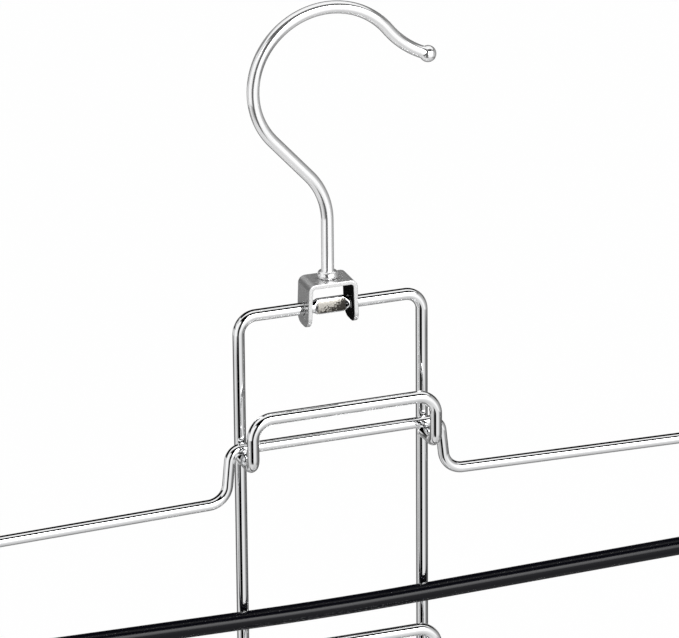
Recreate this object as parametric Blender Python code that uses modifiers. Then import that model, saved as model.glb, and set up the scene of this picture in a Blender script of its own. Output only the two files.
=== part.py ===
"""A multi tier trouser hanger of chromed wire, in metres, +Z up, its front towards -Y.

The origin is the rail's seat: the inner side of the hook's crown, above the middle of the frame.
Below it the hook's shank is riveted through a folded U bracket, the clevis, which turns on the
frame's top bar. The frame is one closed rectangle of wire. For each tier it has a cradle, a wire
staple welded to the fronts of both uprights, and the tier's raised middle lies trapped between
the cradle and the uprights, so that the tier swings forward and up about it. A sleeve that keeps
trousers from slipping covers the bar at the bottom of each tier.
"""

import math

import bmesh
import bpy
from mathutils import Matrix, Vector

MM = 0.001

# Clearance between pieces that touch on the real hanger, and how far cutters run past them
CLEARANCE = 0.3 * MM
OVERRUN = 2.0 * MM

# Wires
FRAME_WIRE = 4.1 * MM
CRADLE_WIRE = 4.2 * MM
TIER_WIRE = 3.8 * MM
HOOK_WIRE = 4.3 * MM

# Frame: the spacing is between the uprights' axes
FRAME_SPACING = 65.3 * MM
FRAME_CORNER = 9.5 * MM
FRAME_TAIL = 23.0 * MM  # from the lowest sleeve's axis to the frame's bottom bar

# The top bar is pressed flat between the clevis's arms, which keeps the clevis in the middle
COIN_LENGTH = 12.6 * MM
COIN_SHOULDER = 1.8 * MM
COIN_HEIGHT = 5.5 * MM
COIN_THICKNESS = 2.5 * MM

# Tiers: all heights are between wire axes
TIER_COUNT = 4
TIER_PITCH = 86.0 * MM
FIRST_SEAT_DROP = 49.95 * MM  # from the top bar to the wires that the first tier lies on
TIER_WIDTH = 356.0 * MM
TIER_STEP = 18.5 * MM  # from the raised middle down to the wings
TIER_DEPTH = 63.1 * MM  # from the raised middle down to the middle of the sleeve
STEP_OFFSET = 5.85 * MM  # from an upright's axis out to the middle of the step
STEP_SLANT = math.radians(6)
WING_DROOP = math.radians(1.2)
BAR_RISE = math.radians(1.15)
TIER_TOP_BEND = 4.2 * MM
TIER_FOOT_BEND = 7.0 * MM
TIER_END_BEND = 12.0 * MM
BAR_BEND = 1500.0 * MM

# Sleeve over the bar of each tier
SLEEVE_DIAMETER = 6.3 * MM
SLEEVE_END_GAP = 4.0 * MM  # from the sleeve's end to the start of the tier's end bend
SLEEVE_EDGE = 0.3 * MM

# Cradle: the reach is from the uprights' axes forward to the staple's own
CRADLE_REACH = 13.3 * MM
CRADLE_HEIGHT = 17.65 * MM
CRADLE_CORNER = 9.0 * MM
CRADLE_TURN = 4.0 * MM

# Clevis
CLEVIS_STRIP = 1.5 * MM
CLEVIS_GAP = 14.2 * MM  # between the arms, at the web
CLEVIS_SPLAY = math.radians(2)
CLEVIS_DEPTH = 11.0 * MM
CLEVIS_RISE = 9.8 * MM  # from the top bar's axis up to the web's upper face
CLEVIS_DROP = 6.0 * MM  # from the top bar's axis down to the arms' ends
CLEVIS_FOLD = 1.7 * MM  # bend radius at the middle of the strip
CLEVIS_END_ROUND = 4.0 * MM

# Hook: a straight shank from the top bar's height, a neck, a slant, the bowl and the lip
HOOK_SHANK = 30.4 * MM
HOOK_NECK_RADIUS = 24.3 * MM
HOOK_NECK_TURN = math.radians(42.15)
HOOK_SLANT = 18.4 * MM
HOOK_BOWL_RADIUS = 26.5 * MM
HOOK_BOWL_TURN = math.radians(183.8)
HOOK_LIP_RADIUS = 32.3 * MM
HOOK_LIP_TURN = math.radians(31.4)
HOOK_BALL = 5.7 * MM
COLLAR_DIAMETER = 7.0 * MM
COLLAR_HEIGHT = 2.4 * MM
COLLAR_ROUND = 0.6 * MM
RIVET_DIAMETER = 6.2 * MM
RIVET_HEIGHT = 1.2 * MM

# Fineness: sides of a wire are 4 + 2 * resolution, and a right angle has this many facets
FRAME_SIDES = 4
CRADLE_SIDES = 3
TIER_SIDES = 3
SLEEVE_SIDES = 4
HOOK_SIDES = 4
BEND_STEPS = 6
HOOK_BEND_STEPS = 12
COIN_RAMP_STEPS = 4
TURNED_STEPS = 24
MERGE_DISTANCE = 0.03 * MM
CHAMFER_ANGLE = math.radians(60)  # only edges sharper than this are chamfered
SMOOTH_ANGLE = math.radians(40)  # edges flatter than this are shaded smooth

# Finishes: colour, roughness and metallic
CHROME_FINISH = (0.78, 0.79, 0.80), 0.08, 1.0
SLEEVE_FINISH = (0.012, 0.012, 0.014), 0.28, 0.0

# Places worked out from the sizes above
HALF_SPACING = FRAME_SPACING / 2
HOOK_CROWN = (
    HOOK_SHANK
    + (HOOK_NECK_RADIUS + HOOK_BOWL_RADIUS) * math.sin(HOOK_NECK_TURN)
    + HOOK_SLANT * math.cos(HOOK_NECK_TURN)
    + HOOK_BOWL_RADIUS
)
TOP_BAR_Z = -(HOOK_CROWN - HOOK_WIRE / 2)
TIER_Y = -(FRAME_WIRE / 2 + CLEARANCE + TIER_WIRE / 2)
FIRST_TIER_Z = TOP_BAR_Z - FIRST_SEAT_DROP + CRADLE_WIRE / 2 + CLEARANCE + TIER_WIRE / 2
TIER_LEAN = -math.asin((SLEEVE_DIAMETER - TIER_WIRE) / 2 / TIER_DEPTH)
FRAME_BOTTOM_Z = FIRST_TIER_Z - (TIER_COUNT - 1) * TIER_PITCH - TIER_DEPTH - FRAME_TAIL
CLEVIS_GAP_AT_BAR = CLEVIS_GAP + 2 * CLEVIS_RISE * math.tan(CLEVIS_SPLAY)
CLEVIS_X = -((CLEVIS_GAP_AT_BAR - COIN_LENGTH) / 2 - CLEARANCE)
BAR_CORNER_DEPTH = TIER_DEPTH + BAR_BEND * (1 / math.cos(BAR_RISE) - 1)


def clear_scene():
    for obj in list(bpy.data.objects):
        bpy.data.objects.remove(obj)


def collection(name, hidden=False):
    found = bpy.data.collections.new(name)
    found.hide_render = hidden
    bpy.context.scene.collection.children.link(found)
    return found


def material(name, colour, roughness, metallic):
    made = bpy.data.materials.new(name)
    made.use_nodes = True
    shader = made.node_tree.nodes["Principled BSDF"]
    shader.inputs["Base Color"].default_value = (*colour, 1.0)
    shader.inputs["Roughness"].default_value = roughness
    shader.inputs["Metallic"].default_value = metallic
    return made


def empty(name, place, parent=None, turn=0.0):
    """An empty on a joint's axis. Its pieces are modelled round it and parented to it."""
    made = bpy.data.objects.new(name, None)
    made.location = place
    made.rotation_euler.x = turn
    made.parent = parent
    HANGER.objects.link(made)
    return made


def bend(before, corner, after, radius):
    """Points of the arc that rounds a corner between two straight runs."""
    into = (corner - before).normalized()
    out = (after - corner).normalized()
    turn = into.angle(out)
    reach = radius * math.tan(turn / 2)
    start = corner - into * reach
    inward = (out - into * into.dot(out)).normalized()
    steps = max(2, round(BEND_STEPS * turn / (math.pi / 2)))
    points = []
    for step in range(steps + 1):
        angle = turn * step / steps
        points.append(start + into * radius * math.sin(angle) + inward * radius * (1 - math.cos(angle)))
    return points


def bent_path(corners, radii):
    """An open wire's path, from straight runs between corners that are rounded to these radii."""
    places = [Vector(corner) for corner in corners]
    points = [places[0]]
    for index, radius in enumerate(radii):
        points += bend(*places[index : index + 3], radius)
    return points + [places[-1]]


def bent_loop(corners, radii):
    """A closed wire's path. It starts and ends in the middle of the first run."""
    places = [Vector(corner) for corner in corners]
    points = []
    for index, radius in enumerate(radii):
        after = places[(index + 1) % len(places)]
        points += bend(places[index - 1], places[index], after, radius)
    return points


def wire(name, points, diameter, sides, parent, finish, closed=False, capped=True):
    """A round wire along a path, as a curve."""
    curve = bpy.data.curves.new(name, "CURVE")
    curve.dimensions = "3D"
    curve.bevel_depth = diameter / 2
    curve.bevel_resolution = sides
    curve.use_fill_caps = capped
    spline = curve.splines.new("POLY")
    spline.points.add(len(points) - 1)
    for target, point in zip(spline.points, points):
        target.co = (*point, 1.0)
    spline.use_cyclic_u = closed
    spline.use_smooth = True
    curve.materials.append(finish)
    made = bpy.data.objects.new(name, curve)
    made.parent = parent
    HANGER.objects.link(made)
    return made


def as_mesh(curve_object):
    """The same object as a mesh, with its loose caps welded on."""
    bpy.context.view_layer.update()
    graph = bpy.context.evaluated_depsgraph_get()
    mesh = bpy.data.meshes.new_from_object(curve_object.evaluated_get(graph))
    work = bmesh.new()
    work.from_mesh(mesh)
    bmesh.ops.remove_doubles(work, verts=work.verts, dist=MERGE_DISTANCE)
    work.to_mesh(mesh)
    work.free()
    name = curve_object.name
    made = bpy.data.objects.new(name, mesh)
    made.parent = curve_object.parent
    made.matrix_world = curve_object.matrix_world
    HANGER.objects.link(made)
    bpy.data.objects.remove(curve_object)
    made.name = name
    return made


def mesh_object(name, work, parent, finish=None, helper=False):
    """An object from a bmesh. A helper only shapes other pieces and stays out of a render."""
    mesh = bpy.data.meshes.new(name)
    bmesh.ops.recalc_face_normals(work, faces=work.faces)
    work.to_mesh(mesh)
    work.free()
    made = bpy.data.objects.new(name, mesh)
    made.parent = parent
    if finish:
        mesh.materials.append(finish)
    if helper:
        made.hide_render = True
        made.display_type = "WIRE"
        CUTTERS.objects.link(made)
    else:
        HANGER.objects.link(made)
    return made


def cylinder(name, radius, length, turn, place, parent):
    """A helper cylinder, centred on its place."""
    work = bmesh.new()
    bmesh.ops.create_cone(
        work,
        cap_ends=True,
        segments=TURNED_STEPS,
        radius1=radius,
        radius2=radius,
        depth=length,
        matrix=Matrix.Translation(place) @ turn,
    )
    return mesh_object(name, work, parent, helper=True)


def turned(name, profile, parent):
    """A helper turned about Z from (radius, height) points that run down its outer side."""
    work = bmesh.new()
    corners = [work.verts.new((radius, 0, height)) for radius, height in profile]
    for upper, lower in zip(corners, corners[1:]):
        work.edges.new((upper, lower))
    made = mesh_object(name, work, parent, helper=True)
    screw = made.modifiers.new("turn", "SCREW")
    screw.steps = TURNED_STEPS
    screw.render_steps = TURNED_STEPS
    screw.use_merge_vertices = True
    screw.merge_threshold = MERGE_DISTANCE
    return made


def combine(obj, other, operation):
    step = obj.modifiers.new(other.name, "BOOLEAN")
    step.operation = operation
    step.object = other


def soften(obj, width):
    """A narrow chamfer along every sharp edge."""
    edge = obj.modifiers.new("edges", "BEVEL")
    edge.width = width
    edge.segments = 1
    edge.limit_method = "ANGLE"
    edge.angle_limit = CHAMFER_ANGLE


def shade(obj):
    obj.data.shade_smooth()
    obj.data.set_sharp_from_angle(angle=SMOOTH_ANGLE)


def smooth_step(value):
    value = min(1.0, max(0.0, value))
    return value * value * (3 - 2 * value)


def press_flat(obj):
    """Coins the middle of the top bar: lower in depth, higher in height, with soft shoulders."""
    flatness_share, roundness_share = 0.4, 0.8
    for vertex in obj.data.vertices:
        x, y, z = vertex.co
        if abs(z) > FRAME_WIRE or abs(x) > COIN_LENGTH / 2:
            continue
        across, up = y / (FRAME_WIRE / 2), z / (FRAME_WIRE / 2)
        flat_y = math.copysign(abs(across) ** flatness_share, across) * COIN_THICKNESS / 2
        flat_z = math.copysign(abs(up) ** roundness_share, up) * COIN_HEIGHT / 2
        pressed = smooth_step((COIN_LENGTH / 2 - abs(x)) / COIN_SHOULDER)
        vertex.co.y += pressed * (flat_y - y)
        vertex.co.z += pressed * (flat_z - z)


def make_frame(root):
    """The closed frame wire. Extra points on the top bar carry the pressed stretch."""
    bottom = FRAME_BOTTOM_Z - TOP_BAR_Z
    points = bent_loop(
        [
            (-HALF_SPACING, 0, 0),
            (-HALF_SPACING, 0, bottom),
            (HALF_SPACING, 0, bottom),
            (HALF_SPACING, 0, 0),
        ],
        [FRAME_CORNER] * 4,
    )
    middle = COIN_LENGTH / 2 - COIN_SHOULDER
    ramp = [middle + COIN_SHOULDER * step / COIN_RAMP_STEPS for step in range(COIN_RAMP_STEPS + 1)]
    points += [Vector((x, 0, 0)) for x in reversed(ramp)]
    points += [Vector((-x, 0, 0)) for x in ramp]
    frame = as_mesh(wire("frame_wire", points, FRAME_WIRE, FRAME_SIDES, root, CHROME, closed=True))
    press_flat(frame)
    shade(frame)


def make_cradle(number, seat):
    """A staple round the front of a tier: back from an upright, up, across, down and back."""
    back = -(FRAME_WIRE / 2 + CLEARANCE)
    front, top = -CRADLE_REACH, CRADLE_HEIGHT
    points = bent_path(
        [
            (-HALF_SPACING, back, 0),
            (-HALF_SPACING, front, 0),
            (-HALF_SPACING, front, top),
            (HALF_SPACING, front, top),
            (HALF_SPACING, front, 0),
            (HALF_SPACING, back, 0),
        ],
        [CRADLE_TURN, CRADLE_CORNER, CRADLE_CORNER, CRADLE_TURN],
    )
    wire(f"cradle_{number}", points, CRADLE_WIRE, CRADLE_SIDES, seat, CHROME)


def tier_corners():
    """Right half of a tier's loop, from its raised middle round to its bar, and the radii."""
    step = HALF_SPACING + STEP_OFFSET
    slant = TIER_STEP / 2 * math.tan(STEP_SLANT)
    end = TIER_WIDTH / 2
    wing_end = -TIER_STEP - (end - step - slant) * math.tan(WING_DROOP)
    corners = [
        (step - slant, 0, 0),
        (step + slant, 0, -TIER_STEP),
        (end, 0, wing_end),
        (end, 0, bar_height(end)),
    ]
    return corners, [TIER_TOP_BEND, TIER_FOOT_BEND, TIER_END_BEND, TIER_END_BEND]


def bar_height(x):
    """Height of a tier's bar against its raised middle, as straight runs that rise outwards."""
    return -BAR_CORNER_DEPTH + abs(x) * math.tan(BAR_RISE)


def mirrored(corners):
    return [(-x, y, z) for x, y, z in reversed(corners)]


def make_tier(number, axis):
    """A tier's closed wire loop, and the sleeve over its bar."""
    corners, radii = tier_corners()
    points = bent_loop(
        corners + [(0, 0, bar_height(0))] + mirrored(corners),
        radii + [BAR_BEND] + radii[::-1],
    )
    wire(f"tier_wire_{number}", points, TIER_WIRE, TIER_SIDES, axis, CHROME, closed=True)

    end = TIER_WIDTH / 2 - TIER_END_BEND - SLEEVE_END_GAP
    points = bent_path(
        [(-end, 0, bar_height(end)), (0, 0, bar_height(0)), (end, 0, bar_height(end))],
        [BAR_BEND],
    )
    name = f"trouser_sleeve_{number}"
    sleeve = as_mesh(wire(name, points, SLEEVE_DIAMETER, SLEEVE_SIDES, axis, BLACK, capped=False))
    wall = sleeve.modifiers.new("wall", "SOLIDIFY")
    wall.thickness = (SLEEVE_DIAMETER - TIER_WIRE) / 2 - CLEARANCE
    wall.offset = -1
    wall.use_even_offset = True
    soften(sleeve, SLEEVE_EDGE)
    shade(sleeve)


def clevis_blank(parent):
    """The bent strip: an open U drawn at the middle of its thickness, then thickened."""
    half = (CLEVIS_GAP + CLEVIS_STRIP) / 2
    web = CLEVIS_RISE - CLEVIS_STRIP / 2
    foot = half + (web + CLEVIS_DROP) * math.tan(CLEVIS_SPLAY)
    path = bent_path(
        [(-foot, 0, -CLEVIS_DROP), (-half, 0, web), (half, 0, web), (foot, 0, -CLEVIS_DROP)],
        [CLEVIS_FOLD, CLEVIS_FOLD],
    )
    work = bmesh.new()
    depth = Vector((0, CLEVIS_DEPTH, 0))
    row = [work.verts.new(point - depth / 2) for point in path]
    edges = [work.edges.new(pair) for pair in zip(row, row[1:])]
    drawn = bmesh.ops.extrude_edge_only(work, edges=edges)
    new = [item for item in drawn["geom"] if isinstance(item, bmesh.types.BMVert)]
    bmesh.ops.translate(work, verts=new, vec=depth)
    blank = mesh_object("clevis", work, parent, CHROME)
    strip = blank.modifiers.new("strip", "SOLIDIFY")
    strip.thickness = CLEVIS_STRIP
    strip.offset = 0
    strip.use_even_offset = True
    return blank


def clevis_outline(parent):
    """What the clevis fills seen from its side: a block whose lower corners are rounded."""
    side, top = CLEVIS_DEPTH / 2, CLEVIS_RISE + OVERRUN
    lower = bent_path(
        [(0, side, top), (0, side, -CLEVIS_DROP), (0, -side, -CLEVIS_DROP), (0, -side, top)],
        [CLEVIS_END_ROUND, CLEVIS_END_ROUND],
    )
    work = bmesh.new()
    width = Vector((2 * (CLEVIS_GAP + OVERRUN), 0, 0))
    face = work.faces.new([work.verts.new(point - width / 2) for point in lower])
    drawn = bmesh.ops.extrude_face_region(work, geom=[face])
    new = [item for item in drawn["geom"] if isinstance(item, bmesh.types.BMVert)]
    bmesh.ops.translate(work, verts=new, vec=width)
    return mesh_object("clevis_outline", work, parent, helper=True)


def make_clevis(fold):
    """The folded strip, with a hole through both arms for the top bar and one for the shank."""
    clevis = clevis_blank(fold)
    combine(clevis, clevis_outline(fold), "INTERSECT")
    across = Matrix.Rotation(math.pi / 2, 4, "Y")
    reach = 2 * (CLEVIS_GAP + OVERRUN)
    bar_hole = cylinder("bar_hole", FRAME_WIRE / 2 + CLEARANCE, reach, across, (0, 0, 0), fold)
    combine(clevis, bar_hole, "DIFFERENCE")
    web = (0, 0, CLEVIS_RISE - CLEVIS_STRIP / 2)
    depth = CLEVIS_STRIP + 2 * OVERRUN
    shank_hole = cylinder(
        "shank_hole", HOOK_WIRE / 2 + CLEARANCE, depth, Matrix.Identity(4), web, fold
    )
    combine(clevis, shank_hole, "DIFFERENCE")
    shade(clevis)


def hook_path(start):
    """The hook's centre line, a run of straights and arcs that each go on where the last ended."""
    place = Vector((0, 0, start))
    points = [place.copy()]
    heading = 0.0

    def straight(length):
        place.x += length * math.sin(heading)
        place.z += length * math.cos(heading)
        points.append(place.copy())

    def arc(radius, turn):
        nonlocal heading
        steps = max(2, round(HOOK_BEND_STEPS * abs(turn) / (math.pi / 2)))
        chord = 2 * radius * math.sin(abs(turn) / steps / 2)
        for _ in range(steps):
            heading += turn / steps / 2
            straight(chord)
            heading += turn / steps / 2

    straight(HOOK_SHANK - start)
    arc(HOOK_NECK_RADIUS, -HOOK_NECK_TURN)
    straight(HOOK_SLANT)
    arc(HOOK_BOWL_RADIUS, HOOK_BOWL_TURN)
    arc(HOOK_LIP_RADIUS, -HOOK_LIP_TURN)
    return points


def make_hook(swivel):
    """The hook wire, with its upset collar, riveted foot and ball tip joined on."""
    collar_foot = CLEVIS_RISE + CLEARANCE
    collar_top = collar_foot + COLLAR_HEIGHT
    rivet_top = CLEVIS_RISE - CLEVIS_STRIP - CLEARANCE
    rivet_foot = rivet_top - RIVET_HEIGHT
    shank, collar, rivet = HOOK_WIRE / 2, COLLAR_DIAMETER / 2, RIVET_DIAMETER / 2
    profile = [
        (0, collar_top),
        (collar - COLLAR_ROUND, collar_top),
        (collar, collar_top - COLLAR_ROUND),
        (collar, collar_foot + COLLAR_ROUND),
        (collar - COLLAR_ROUND, collar_foot),
        (shank, collar_foot),
        (shank, rivet_top),
        (rivet, rivet_top),
        (rivet, rivet_top - RIVET_HEIGHT / 2),
        (shank, rivet_foot),
        (0, rivet_foot),
    ]
    points = hook_path((collar_foot + collar_top) / 2)
    hook = as_mesh(wire("hook", points, HOOK_WIRE, HOOK_SIDES, swivel, CHROME))
    combine(hook, turned("collar_and_rivet", profile, swivel), "UNION")

    work = bmesh.new()
    bmesh.ops.create_uvsphere(
        work,
        u_segments=TURNED_STEPS,
        v_segments=TURNED_STEPS // 2,
        radius=HOOK_BALL / 2,
        matrix=Matrix.Translation(points[-1]),
    )
    combine(hook, mesh_object("hook_tip", work, swivel, helper=True), "UNION")
    shade(hook)


def main():
    root = empty("top_bar_axis", (0, 0, TOP_BAR_Z))
    make_frame(root)
    for number in range(1, TIER_COUNT + 1):
        drop = (number - 1) * TIER_PITCH
        seat_z = -FIRST_SEAT_DROP - drop
        seat = empty(f"cradle_seat_{number}", (0, 0, seat_z), root)
        make_cradle(number, seat)
        tier_place = (0, TIER_Y, FIRST_TIER_Z - TOP_BAR_Z - drop)
        make_tier(number, empty(f"tier_axis_{number}", tier_place, root, TIER_LEAN))
    fold = empty("clevis_axis", (CLEVIS_X, 0, 0), root)
    make_clevis(fold)
    make_hook(empty("swivel_axis", (0, 0, 0), fold))


clear_scene()
HANGER = collection("multi_tier_trouser_hanger")
CUTTERS = collection("cutters", hidden=True)
CHROME = material("chrome", *CHROME_FINISH)
BLACK = material("black_sleeve", *SLEEVE_FINISH)
main()
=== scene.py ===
"""The looks of the multi tier trouser hanger: fine wires, chrome, sleeves, light and camera."""

import math
from collections import namedtuple

import bmesh
import bpy
from mathutils import Matrix, Vector


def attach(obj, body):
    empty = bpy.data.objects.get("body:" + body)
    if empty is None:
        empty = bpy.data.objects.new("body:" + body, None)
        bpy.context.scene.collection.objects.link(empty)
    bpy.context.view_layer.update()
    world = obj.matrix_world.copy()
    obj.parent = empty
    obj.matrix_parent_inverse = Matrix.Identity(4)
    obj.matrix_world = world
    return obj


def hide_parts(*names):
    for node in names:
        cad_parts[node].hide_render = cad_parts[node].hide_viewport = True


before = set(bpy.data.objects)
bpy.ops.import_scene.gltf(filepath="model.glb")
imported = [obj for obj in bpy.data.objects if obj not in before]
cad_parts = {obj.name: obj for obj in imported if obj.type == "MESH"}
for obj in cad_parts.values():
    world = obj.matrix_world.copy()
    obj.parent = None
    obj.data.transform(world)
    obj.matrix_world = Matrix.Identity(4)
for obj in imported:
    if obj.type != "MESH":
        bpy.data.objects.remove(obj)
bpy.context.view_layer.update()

MM = 0.001
DEGREES = 180 / math.pi

# Sizes of the hanger, the same as in the part's source but for the radii of the frame's and the
# cradles' corners, which are as tight as the photograph shows them
CLEARANCE = 0.3 * MM
FRAME_WIRE = 4.1 * MM
CRADLE_WIRE = 4.2 * MM
TIER_WIRE = 3.8 * MM
HOOK_WIRE = 4.3 * MM
FRAME_SPACING = 65.3 * MM
FRAME_CORNER = 6.0 * MM
FRAME_TAIL = 23.0 * MM
COIN_LENGTH = 12.6 * MM
COIN_SHOULDER = 1.8 * MM
COIN_HEIGHT = 5.5 * MM
COIN_THICKNESS = 2.5 * MM
TIER_COUNT = 4
TIER_PITCH = 86.0 * MM
FIRST_SEAT_DROP = 49.95 * MM
TIER_WIDTH = 356.0 * MM
TIER_STEP = 18.5 * MM
TIER_DEPTH = 63.1 * MM
STEP_OFFSET = 5.85 * MM
STEP_SLANT = math.radians(6)
WING_DROOP = math.radians(1.2)
BAR_RISE = math.radians(1.15)
TIER_TOP_BEND = 4.2 * MM
TIER_FOOT_BEND = 7.0 * MM
TIER_END_BEND = 12.0 * MM
BAR_BEND = 1500.0 * MM
SLEEVE_DIAMETER = 6.3 * MM
SLEEVE_END_GAP = 4.0 * MM
CRADLE_REACH = 13.3 * MM
CRADLE_HEIGHT = 17.65 * MM
CRADLE_CORNER = 6.8 * MM
CRADLE_TURN = 4.0 * MM
CLEVIS_STRIP = 1.5 * MM
CLEVIS_GAP = 14.2 * MM
CLEVIS_SPLAY = math.radians(2)
CLEVIS_DEPTH = 11.0 * MM
CLEVIS_RISE = 9.8 * MM
CLEVIS_DROP = 6.0 * MM
CLEVIS_FOLD = 1.7 * MM
CLEVIS_END_ROUND = 4.0 * MM
HOOK_SHANK = 30.4 * MM
HOOK_NECK_RADIUS = 24.3 * MM
HOOK_NECK_TURN = math.radians(42.15)
HOOK_SLANT = 18.4 * MM
HOOK_BOWL_RADIUS = 26.5 * MM
HOOK_BOWL_TURN = math.radians(183.8)
HOOK_LIP_RADIUS = 32.3 * MM
HOOK_LIP_TURN = math.radians(31.4)
HOOK_BALL = 5.7 * MM
COLLAR_DIAMETER = 7.0 * MM
COLLAR_HEIGHT = 2.4 * MM
RIVET_DIAMETER = 6.2 * MM
RIVET_HEIGHT = 1.2 * MM

# Details that only the looks have: rounded edges, swells at the welds, the sleeves' open ends, the
# degrees of the collar's rounding to each side, the fillet over it as (height, width), and the powers
# that square the pressed stretch in depth and in height
SLEEVE_EDGE = 0.45 * MM
SLEEVE_BORE_GAP = 0.08 * MM
SLEEVE_BORE_DEPTH = 3.0 * MM
WELD_LENGTH = 1.5 * MM
WELD_SWELL = 0.45 * MM
WELD_SINK = 0.6 * MM
CLEVIS_EDGE = 0.22 * MM
COLLAR_ROUND = 0.9 * MM
COLLAR_ARC = 80
COLLAR_FILLET = [(0.0, 0.35 * MM), (0.12 * MM, 0.1 * MM), (0.4 * MM, 0.0)]
COIN_FLATNESS = 0.4
COIN_ROUNDNESS = 0.8

# Places worked out from the sizes
HALF_SPACING = FRAME_SPACING / 2
HOOK_CROWN = (
    HOOK_SHANK
    + (HOOK_NECK_RADIUS + HOOK_BOWL_RADIUS) * math.sin(HOOK_NECK_TURN)
    + HOOK_SLANT * math.cos(HOOK_NECK_TURN)
    + HOOK_BOWL_RADIUS
)
TOP_BAR_Z = -(HOOK_CROWN - HOOK_WIRE / 2)
TIER_Y = -(FRAME_WIRE / 2 + CLEARANCE + TIER_WIRE / 2)
FIRST_TIER_Z = TOP_BAR_Z - FIRST_SEAT_DROP + CRADLE_WIRE / 2 + CLEARANCE + TIER_WIRE / 2
TIER_LEAN = -math.asin((SLEEVE_DIAMETER - TIER_WIRE) / 2 / TIER_DEPTH)
FRAME_BOTTOM_Z = FIRST_TIER_Z - (TIER_COUNT - 1) * TIER_PITCH - TIER_DEPTH - FRAME_TAIL
BAR_CORNER_DEPTH = TIER_DEPTH + BAR_BEND * (1 / math.cos(BAR_RISE) - 1)
CLEVIS_GAP_AT_BAR = CLEVIS_GAP + 2 * CLEVIS_RISE * math.tan(CLEVIS_SPLAY)
CLEVIS_X = -((CLEVIS_GAP_AT_BAR - COIN_LENGTH) / 2 - CLEARANCE)

# The middle of the clevis's strip: the web's height over the top bar, half its width up to the
# corners that the folds round, the turn of a fold, and where it starts and ends along the flat strip
CLEVIS_WEB = CLEVIS_RISE - CLEVIS_STRIP / 2
CLEVIS_HALF = (CLEVIS_GAP + CLEVIS_STRIP) / 2
CLEVIS_TURN = math.pi / 2 - CLEVIS_SPLAY
FOLD_START = CLEVIS_HALF - CLEVIS_FOLD * math.tan(CLEVIS_TURN / 2)
FOLD_END = FOLD_START + CLEVIS_FOLD * CLEVIS_TURN

# Fineness, the degrees from the hook's tip at which its last ring lies, and the distances within
# which points are merged and a cut finds them
SIDES = 48
HOLE_SIDES = 48
BEND_STEPS = 32
LEAST_BEND_STEPS = 6
ROUND_STEPS = 10
FOLD_STEPS = 14
COIN_STEPS = 60
BALL_LAST_RING = 2
SHARP_ANGLE = math.radians(50)
MERGE_DISTANCE = 0.002 * MM
CUT_DISTANCE = 1e-7

# The plate's colours on the wires, the hook and the clevis's sheet, the share of them that it has
# where it is hazy, and the shades of a sleeve and of its rubs
WIRE_PLATE = (0.93, 0.935, 0.94)
HOOK_PLATE = (0.95, 0.95, 0.955)
SHEET_PLATE = (0.82, 0.82, 0.82)
HAZE_SHADE = 0.975
SLEEVE_DARK = (0.0022, 0.0022, 0.0042)
SLEEVE_RUBBED = (0.006, 0.006, 0.008)

# The painted shade on the clevis: grey on its arms, and near black on its inner side, with the
# depth over which that comes in and how much rougher the inner side is
ARM_PAINTED_SHADE = (0.48, 0.48, 0.48)
INSIDE_PAINTED_SHADE = (0.002, 0.002, 0.002)
INSIDE_DEPTH = 0.2 * MM
INSIDE_ROUGHER = 0.7

# The pressed stretch: its grain's shades, the distances from its middle between which the grain
# ends, how much rougher it is, the colour of the patch where it is darker, how much that grows for
# each metre to the right and upwards, and where and how much more it grows at the right end
GRAIN_DARK = (0.40, 0.38, 0.34)
GRAIN_LIGHT = (0.68, 0.66, 0.61)
GRAIN_END = (6.0 * MM, 5.4 * MM)
GRAIN_ROUGHER = 0.33
DARK_PATCH_COLOUR = (0.06, 0.055, 0.05)
DARK_PATCH_TO_RIGHT = 26.0
DARK_PATCH_UPWARDS = -95.0
DARK_PATCH_AT_END = (1.0 * MM, 5.6 * MM, 0.0, 0.24)

# The photograph's camera: degrees, metres and the focal length in pixels of the image
IMAGE_WIDTH = 679
AZIMUTH = -19.95
ELEVATION = 21.72
ROLL = -0.47
DISTANCE = 1.821
FOCAL_PIXELS = 5430
SENSOR_WIDTH = 36
CLIP_START = 0.05
CLIP_END = 100
TARGET = Vector((3.26 * MM, 0.12 * MM, TOP_BAR_Z - 5.74 * MM))

# The studio in the gloss, as (degrees, brightness): round the object from the front to the right,
# then from the front up over it and down behind it
AROUND = [
    (-180, 0.08), (-170, 0.22), (-162, 0.34), (-150, 0.18), (-142, 0.09), (-128, 0.12),
    (-120, 0.28), (-111, 0.78), (-90, 0.76), (-74, 0.62), (-56, 0.50), (-50, 0.45),
    (-16, 1.06), (30, 1.04), (40, 0.82), (50, 0.52), (62, 0.24), (84, 0.14),
    (112, 0.09), (180, 0.08),
]
FALLOFF = [
    (-180, 0.9), (-158, 0.05), (-150, 0.06), (-140, 0.12), (-125, 0.2), (-108, 0.32),
    (-87, 0.46), (-75, 0.56), (-50, 0.64), (-28, 0.77), (-12, 0.90), (-4, 1.6),
    (8, 3.5), (20, 6.0), (32, 7.5), (46, 7.5), (52, 1.0), (180, 1.0),
]
OVERHEAD = [
    (0, 7.5), (42, 7.5), (44, 0.9), (46, 0.0), (79, 0.0), (82, 1.0),
    (106, 1.0), (124, 0.88), (154, 0.7), (170, 0.2), (180, 0.05),
]

# The degrees between which the studio's regions come in. AROUND lights a level band, which FALLOFF
# shades where it lies before the object. FALLOFF alone lights what is below the band, and OVERHEAD
# what is above it.
LEVEL_FOOT = (-52.0, -38.0)
LEVEL_TOP = (40.0, 28.0)
BEFORE_OBJECT = (85.0, 45.0)
OVERHEAD_FOOT = (30.0, 40.0)

# The even patch low at the left: its brightness and its edges
PATCH_LEVEL = 0.72
PATCH_RIGHT = (-5.0, -25.0)
PATCH_LEFT = (-150.0, -125.0)
PATCH_TOP = (-36.0, -46.0)

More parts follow.
